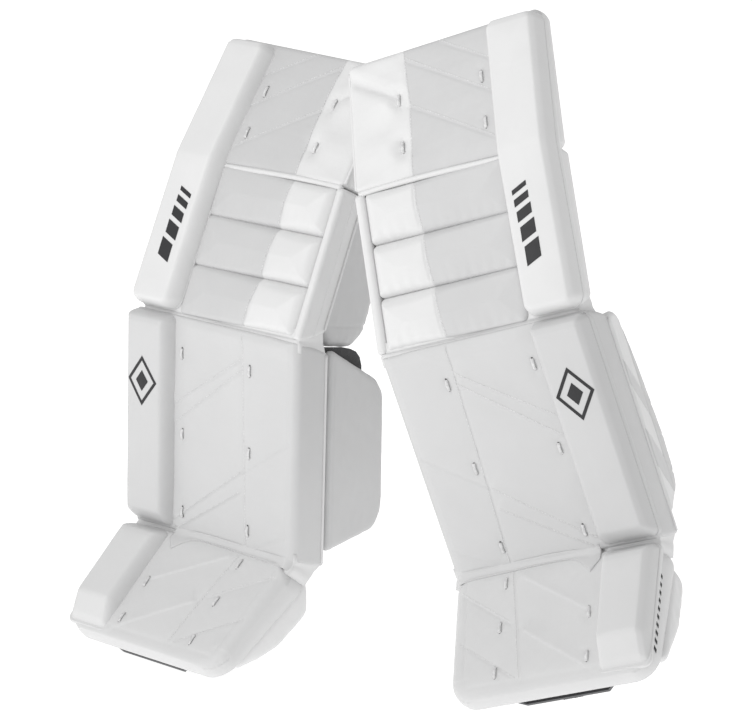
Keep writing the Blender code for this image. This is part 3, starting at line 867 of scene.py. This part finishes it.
def cordings(side, at):
    """Piping along the edges where the front, side and back panels are sewn together."""
    back, upper_back, inner = COVER_DEPTH - 0.003, THIGH_DEPTH - 0.002, INNER_X - 0.0002
    foot, head = -SHIN_LENGTH + 0.006, THIGH_LENGTH - 0.014
    for name, where, body, x, depth, low, high, count, radius, shape in (
        ("shin_inner_piping_1", "pad", "shin", INNER_X - 0.0006, back, foot, -0.004, 40, 0.0019, shin_shape),
        ("thigh_inner_piping", "thigh", "upper", INNER_X + 0.0026, 0.0032, 0.006, head, 30, 0.0020, None),
        ("shin_outer_piping", "pad", "shin", OUTER_X - 0.0004, back, foot, -0.006, 30, 0.0017, shin_shape),
        ("thigh_back_piping", "thigh", "upper", inner, upper_back, 0.006, head + 0.002, 30, 0.0017, thinned),
        ("knee_back_piping", "knee", "upper", inner, upper_back, 0.008, KNEE_LENGTH - 0.004, 30, 0.0017,
         knee_shape),
    ):
        path = np.array([(x, depth, low + (high - low) * k / count) for k in range(count + 1)])
        points, faces = tube((shape(path) if shape else path).tolist(), radius)
        piece(f"{side}_{name}", points, faces, at[where], WHITE, f"{side}_{body}")


def stuffed(made, cap, pressure=4.0, frames=20):
    """Fills a sewn skin by a short pressure simulation. No point moves further than the cap."""
    scene = bpy.context.scene
    start = vectors(made.data.vertices, "co")
    cloth_modifier = made.modifiers.new("stuffing", "CLOTH")
    settings = cloth_modifier.settings
    settings.quality = 5
    settings.mass = 0.15
    settings.use_pressure = True
    settings.uniform_pressure_force = pressure
    settings.effector_weights.gravity = 0.0
    cloth_modifier.collision_settings.use_collision = False
    cloth_modifier.point_cache.frame_start = 1
    cloth_modifier.point_cache.frame_end = frames
    for number in range(1, frames + 1):
        scene.frame_set(number)
    filled = settled(made)
    moved = vectors(filled.vertices, "co") - start
    far = np.linalg.norm(moved, axis=1, keepdims=True)
    moved *= np.minimum(1.0, cap / np.maximum(far, 1e-9))
    filled.vertices.foreach_set("co", (start + moved).ravel())
    made.data = filled
    scene.frame_set(1)
    finer = made.modifiers.new("finer", "SUBSURF")
    finer.levels = finer.render_levels = 1
    made.data = settled(made)
    return made.data


def skin_of(side, at, node, where, finish, body, voxel=0.0025, smooth=10, inflate=0.0006, wrinkle=0.0004,
            detail=None, suffix="_pad", stuffing=0.0):
    """A soft piece grown from a CAD node: remeshed, relaxed, filled out again, then creased and sewn."""
    source = bpy.data.objects[f"{side}_{node}"]
    data = source.data.copy()
    made = added(f"{side}_{node}{suffix}", data)
    data.materials.clear()
    data.materials.append(finish)
    modifier = made.modifiers.new("remesh", "REMESH")
    modifier.mode = "VOXEL"
    modifier.voxel_size = voxel
    relaxed = made.modifiers.new("relax", "SMOOTH")
    relaxed.factor = 0.6
    relaxed.iterations = smooth
    made.data = settled(made)
    solid = stuffed(made, stuffing) if stuffing else made.data
    places, normals = vectors(solid.vertices, "co"), vectors(solid.vertex_normals, "vector")
    rise = inflate + wrinkle * ripple(places[:, 0] + places[:, 1], places[:, 2], len(node), 0.03)
    if detail:
        back = np.array(at[where].inverted())
        extra, tone = detail(places @ back[:3, :3].T + back[:3, 3])
        rise = rise + extra
        solid.attributes.new("tone", "FLOAT", "POINT").data.foreach_set("value", np.asarray(tone, float))
    places = places + normals * rise[:, None]
    solid.vertices.foreach_set("co", places.ravel())
    solid.shade_smooth()
    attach(made, f"{side}_{body}")
    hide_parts(f"{side}_{node}")
    return made


def flush_wall(made, matrix):
    """Brings the inner boot wall level with the boot's side, and its top up to the ankle fold."""
    back = matrix.inverted()
    for vertex in made.data.vertices:
        x, y, z = back @ vertex.co
        ahead = min(1.0, max(0.0, 1 - (y - BOOT_DEPTH) / 0.030))
        up = min(1.0, max(0.0, (z + 0.05) / 0.04))
        x *= 1.012 * (1 + 0.05 * z / BOOT_LENGTH)
        y -= 0.004 * min(1.0, max(0.0, 1 - (y - BOOT_DEPTH) / 0.012))
        vertex.co = matrix @ Vector((x, y, z + 0.018 * ahead * up))


def quilting(local):
    """Sewn diamonds."""
    dips = 0
    for way in (1, -1):
        across = (local[:, 0] + way * local[:, 2]) / 0.032
        dips = dips + bell(across - np.round(across), 0.07)
    return -0.0020 * dips, np.zeros(len(local))


def channels(local):
    """Sewn channels across a panel, and a bound edge."""
    across = local[:, 2] / 0.034
    dips = bell(across - np.round(across), 0.05)
    inner = bell(np.abs(local[:, 0] + 0.008) - 0.100, 0.0016)
    return -0.0012 * dips - 0.0010 * inner, np.zeros(len(local))


def wing_patches(local):
    """Slanted grey patches over the outer wing, each sewn round."""
    height = local[:, 2] + 0.95 * (local[:, 1] - COVER_DEPTH)
    edges = (-0.215, -0.165, -0.110, -0.075)
    tone = ((height > edges[0]) & (height < edges[1])) | ((height > edges[2]) & (height < edges[3]))
    tone = tone | (local[:, 1] > COVER_DEPTH + 0.075)
    dips = sum(bell(height - edge, 0.0022) for edge in edges)
    dips = dips + bell(local[:, 1] - COVER_DEPTH - 0.075, 0.0022)
    return -0.0010 * dips, tone


def hemmed(depth_low):
    """A sewn hem at a constant height above a panel's lower edge."""
    def detail(local):
        far = local[:, 2] - depth_low - 0.25 * (local[:, 1] - 0.05)
        return -0.0009 * bell(far, 0.0016), np.zeros(len(local))
    return detail


def wing_edge(local):
    """A sewn line just inside the wing's front edge."""
    far = local[:, 1] - COVER_DEPTH - 0.016
    return -0.0007 * bell(far, 0.0014), np.zeros(len(local))


def soft_pieces(side, at):
    # The inner wing and the knee landing take SHADE, the white leather darkened as painted shade.
    skin_of(side, at, "inner_calf_wing", "pad", SHADE, "inner_wing", detail=wing_edge)
    skin_of(side, at, "outer_calf_wing", "pad", WHITE, "outer_wing", 0.0022, 8, detail=wing_patches)
    skin_of(side, at, "knee_landing", "knee", SHADE, "upper", 0.004, 6, detail=hemmed(0.030), stuffing=0.001)
    skin_of(side, at, "boot_outer_wall", "boot", WHITE, "boot", 0.0025, 25, 0.0030)
    flush_wall(skin_of(side, at, "boot_inner_wall", "boot", WHITE, "boot", 0.0025, 25, 0.0030), at["boot"])
    for node, where, body in (("knee_cushion", "knee", "upper"), ("leg_cushion", "pad", "shin")):
        skin_of(side, at, node, where, LINING, body, 0.005, 4, 0.0005, 0.001, quilting, stuffing=0.005)
    skin_of(side, at, "upper_back", "knee", WHITE, "upper", 0.0022, 3, detail=channels)
    for node, where, body in (("shin_back", "pad", "shin"), ("boot_back", "boot", "boot")):
        skin_of(side, at, node, where, LINING, body, 0.0022, 3, detail=channels)
    for node, where, body in (
        ("calf_strap", "pad", "outer_wing"), ("knee_strap", "knee", "upper"),
        ("boot_strap", "boot", "boot"), ("toe_strap", "boot", "toe_strap"),
    ):
        skin_of(side, at, node, where, WEBBING, body, 0.0011, 2, 0.0002, 0.0001, suffix="_webbing")


def set_node(name, finish):
    node = bpy.data.objects[name]
    node.data.materials.clear()
    node.data.materials.append(finish)


def ring(matrix, xs, ys, height, count=14):
    """A rounded loop round a section's end, as world points. Height gives z from the depth y."""
    outline = []
    corners = [(xs[0], ys[0]), (xs[1], ys[0]), (xs[1], ys[1]), (xs[0], ys[1])]
    for (ax, ay), (bx, by) in zip(corners, corners[1:] + corners[:1]):
        for k in range(count):
            share = 0.03 + 0.94 * k / (count - 1)
            outline.append((ax + (bx - ax) * share, ay + (by - ay) * share))
    return [matrix @ Vector((x, y, height(y))) for x, y in outline]


def gusset(side, name, first, last):
    """Soft folded skin that closes the gap between two sections.

    First and last each hold an inner and an outer loop of world points.
    """
    deep, near, far, end = first[0], first[1], last[0], last[1]
    centre = sum(near + far, Vector()) / (2 * len(near))
    rings = [deep, near]
    for share, pull in ((0.25, 0.0004), (0.5, 0.0014), (0.75, 0.0004)):
        middle = [a.lerp(b, share) for a, b in zip(near, far)]
        rings.append([p + (centre - p).normalized() * pull for p in middle])
    rings += [far, end]
    count = len(near)
    points = [tuple(p) for loop in rings for p in loop]
    faces = [tuple(range(count))[::-1], tuple(range(len(points) - count, len(points)))]
    for level in range(len(rings) - 1):
        for k in range(count):
            a, b = level * count + k, level * count + (k + 1) % count
            faces.append((a, b, b + count, a + count))
    made = piece(f"{side}_{name}", points, faces, Matrix(), WHITE, None)
    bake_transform(made)


def gussets(side, at):
    """The folded skins at the ankle and knee breaks, each between two pairs of loops."""
    shin_depths = (0.0035, 0.0585)

    def loops(where, wide, depths, height, steps):
        return [ring(at[where], wide, depths, lambda y, step=step: height(y, step)) for step in steps]

    wide = (INNER_X + 0.0012, OUTER_X - 0.003)
    above = loops("pad", wide, shin_depths, lambda y, d: -SHIN_LENGTH - y * ANKLE_MITRE + d, (0.014, 0.003))
    below = loops("boot", wide, (0.0035, 0.0445), lambda y, d: y * ANKLE_MITRE - d, (0.003, 0.014))
    gusset(side, "ankle_gusset", above, below)
    wide = (INNER_X + 0.0012, OUTER_X - 0.011)
    below = loops("pad", wide, shin_depths, lambda y, d: -y * KNEE_MITRE - d, (0.014, 0.002))
    above = loops("knee", wide, (0.0035, 0.0475), lambda y, d: y * KNEE_MITRE + d, (0.002, 0.014))
    gusset(side, "knee_gusset", below, above)


def welt(side, at):
    """Rounded piping along the first break, fullest in the middle."""
    path = []
    for k in range(41):
        share = k / 40
        x = INNER_X + 0.006 + share * (CREASE_X - 0.006 - INNER_X)
        full = math.sin(math.pi * min(1, max(0, share * 1.04 - 0.02))) ** 0.5
        path.append((x, 0.0045 - 0.0035 * full, 0.0005 + 0.0008 * math.sin(share * 5)))
    piece(f"{side}_break_piping", *tube(path, 0.0036, 10), at["thigh"], WHITE, f"{side}_upper")


HEM = (
    (-0.130, -0.056, 0.000, 0.018, 0.029, 0.038, 0.044, 0.049, 0.054, 0.062),
    (0.0085, 0.0060, 0.0042, 0.0050, 0.0095, 0.0170, 0.0240, 0.0300, 0.0230, 0.0130),
)


def flap(side, at, shin_panel, boot_panel):
    """The shin cover's lower edge: a skin over the ankle fold whose hem arches and ends in a pointed tab."""
    columns, rows = 110, 13
    to_boot = at["boot"].inverted() @ at["pad"]
    front, under = [], []
    for i in range(columns):
        x = INNER_X + 0.003 + (CREASE_X - 0.003 - INNER_X - 0.003) * i / (columns - 1)
        hem = float(np.interp(x, *HEM))
        top = to_boot @ Vector((x, 0.0010, -SHIN_LENGTH + 0.012))
        fold = Vector((x, -0.0036, 0.0015))
        tip = Vector((x, -0.0010, -hem))
        for j in range(rows):
            level = j / (rows - 1)
            here = top * (1 - level) ** 2 + fold * (2 * level * (1 - level)) + tip * level**2
            ground = [surface_at(panel, at["boot"], here.x, here.z) for panel in (shin_panel, boot_panel)]
            ground = [y for y in ground if y is not None]
            if ground and level > 0.3:
                here.y = min(here.y, min(ground) - 0.0017)
            here.y += 0.010 * max(0.0, (INNER_X + 0.014 - x) / 0.011) ** 2
            front.append(tuple(here))
            under.append((here.x, here.y + 0.0022, here.z))
    points, base = front + under, len(front)
    faces = [list(face) for face in grid_faces(columns, rows)]
    faces += [list(face) for face in grid_faces(columns, rows, base, True)]
    rim = grid_rim(columns, rows)
    for a, b in zip(rim, rim[1:] + rim[:1]):
        faces.append([a, b, b + base, a + base])
    # The flap's constant tone of 0.75 is painted shade, greying its white leather like the shin face.
    made = piece(f"{side}_ankle_flap", points, faces, at["boot"], WHITE, None, [0.75] * len(points))
    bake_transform(made)


def lining(side, at):
    """Black lining that shows between the knee landing and the top of the inner calf wing."""
    outline = [
        (0.0660, -0.110), (0.140, -0.130), (0.149, -0.080), (0.148, -0.062), (0.144, -0.050), (0.136, -0.041),
        (0.124, -0.035), (0.108, -0.030), (0.0660, -0.022),
    ]
    points, faces = [], []
    for x in (-0.1258, -0.1242):
        points += [(x, y, z) for y, z in outline]
    count = len(outline)
    faces += [tuple(range(count)), tuple(range(2 * count - 1, count - 1, -1))]
    faces += [(k, (k + 1) % count, (k + 1) % count + count, k + count) for k in range(count)]
    made = piece(f"{side}_calf_lining", points, faces, at["pad"], LINING, f"{side}_shin", smooth=False)


def decal(target, matrix, corners, steps=(10, 6), lift=0.0003):
    """A thin print laid on a surface inside four corners given in order."""
    points = []
    for i in range(steps[0] + 1):
        for j in range(steps[1] + 1):
            s, t = i / steps[0], j / steps[1]
            low = Vector(corners[0]).lerp(Vector(corners[1]), s)
            high = Vector(corners[3]).lerp(Vector(corners[2]), s)
            x, z = low.lerp(high, t)
            y = surface_at(target, matrix, x, z)
            points.append((x, (0 if y is None else y) - lift, z))
    return points, [tuple(face) for face in grid_faces(steps[0] + 1, steps[1] + 1)]


def side_print(target, matrix, corners):
    """One flat printed quad on the outer side of a piece, its corners given as (depth, height)."""
    points = []
    for y, z in corners:
        start = matrix @ Vector((0.3, y, z))
        way = (matrix @ Vector((-0.3, y, z)) - start).normalized()
        hit, point, _, _ = target.ray_cast(start, way)
        x = (matrix.inverted() @ point).x if hit else OUTER_X
        points.append((x + 0.0004, y, z))
    return points, [(0, 1, 2, 3)]


def marks(side, at, shin_roll, upper_roll, boot_panel):
    """Plain printed shapes: a framed diamond on the shin roll, bars up the upper roll and the boot's side."""
    cx, cz = DIAMOND_CENTRE
    outer = [(0, -0.034), (0.0250, 0), (0, 0.034), (-0.0250, 0)]
    inner, core = ([(x * share, z * share) for x, z in outer] for share in (0.80, 0.42))
    parts = []
    for k in range(4):
        after = (k + 1) % 4
        quad = [(cx + x, cz + z) for x, z in (outer[k], outer[after], inner[after], inner[k])]
        parts.append(decal(shin_roll, at["pad"], quad, (28, 4)))
    parts.append(decal(shin_roll, at["pad"], [(cx + x, cz + z) for x, z in core], (12, 12)))
    piece(f"{side}_shin_roll_print", *gather(parts), at["pad"], INK, f"{side}_shin")
    parts = []
    for k in range(10):
        foot = -0.050 - 0.0112 * k
        corners = [(0.0125, foot), (0.0050, foot + 0.004), (0.0050, foot + 0.009), (0.0125, foot + 0.005)]
        parts.append(side_print(boot_panel, at["boot"], corners))
    piece(f"{side}_boot_side_print", *gather(parts), at["boot"], INK, f"{side}_boot")
    parts = []
    for k, size in enumerate(BAR_HEIGHTS):
        foot = 0.060 + sum(BAR_HEIGHTS[:k]) + 0.006 * k
        x = 0.0945 - 0.006 * (foot - 0.06) / 0.1
        left, right, slant = x - 0.010, x + 0.010, foot + 0.009
        quad = [(left, foot), (right, slant), (right, slant + size), (left, foot + size)]
        parts.append(decal(upper_roll, at["knee"], quad))
    piece(f"{side}_upper_roll_print", *gather(parts), at["knee"], INK, f"{side}_upper")


def build(side):
    at = frames(side)
    panels = {"thigh": thigh_front(side, at), "shin": shin_front(side, at), "boot": boot_front(side, at)}
    panels["knee"] = knee_rolls(side, at)
    edge_roll(side, at)
    upper, shin = outer_rolls(side, at)
    bpy.context.view_layer.update()
    threads(side, at, panels)
    cordings(side, at)
    soft_pieces(side, at)
    marks(side, at, shin, upper, panels["boot"])
    gussets(side, at)
    welt(side, at)
    flap(side, at, panels["shin"], panels["boot"])
    lining(side, at)
    set_node(f"{side}_toe_bridge", GREY_PLASTIC)
    set_node(f"{side}_boot_buckle", BLACK_PLASTIC)


def studio():
    """A pale floor, a big soft key above the front, and an even white surround."""
    size = 30.0
    data = bpy.data.meshes.new("floor")
    corners = [(-size, -size, 0), (size, -size, 0), (size, size, 0), (-size, size, 0)]
    data.from_pydata(corners, [], [(0, 1, 2, 3)])
    floor = added("floor", data)
    made, tree, shader = shader_of("pale_floor")
    shader.inputs["Base Color"].default_value = (0.4, 0.4, 0.4, 1)
    shader.inputs["Roughness"].default_value = 0.9
    shader.inputs["Emission Color"].default_value = (1, 1, 1, 1)
    shader.inputs["Emission Strength"].default_value = 0.93
    data.materials.append(made)
    floor.location.z = -0.004
    world = bpy.data.worlds.new("surround")
    world.use_nodes = True
    world.node_tree.nodes["Background"].inputs["Color"].default_value = (1, 1, 1, 1)
    world.node_tree.nodes["Background"].inputs["Strength"].default_value = 0.60
    bpy.context.scene.world = world
    for name, place, aim, wide, power in (
        ("key_light", (-1.05, -0.85, 1.80), (-0.1, 0.1, 0.6), 0.8, 9.5),
        ("fill_light", (-1.5, -1.2, 0.7), (-0.3, 0.0, 0.2), 1.0, 4.5),
    ):
        light = bpy.data.lights.new(name, "AREA")
        light.size = wide
        light.energy = power
        lamp = added(name, light)
        lamp.location = place
        lamp.rotation_euler = (Vector(aim) - Vector(place)).to_track_quat("-Z", "Y").to_euler()


CAMERA_LENS = 147.0
CAMERA_AT = (0.0139, -3.7211, 1.4205)
CAMERA_DOWN = 15.05  # degrees below level


def camera():
    lens = bpy.data.cameras.new("camera")
    lens.lens = CAMERA_LENS
    lens.sensor_width = 36.0
    lens.clip_end = 200.0
    made = added("camera", lens)
    made.location = CAMERA_AT
    made.rotation_euler = (math.radians(90 - CAMERA_DOWN), 0, 0)
    bpy.context.scene.camera = made


for pad_side in PADS:
    build(pad_side)
studio()
camera()
bpy.context.scene.view_settings.view_transform = "Standard"
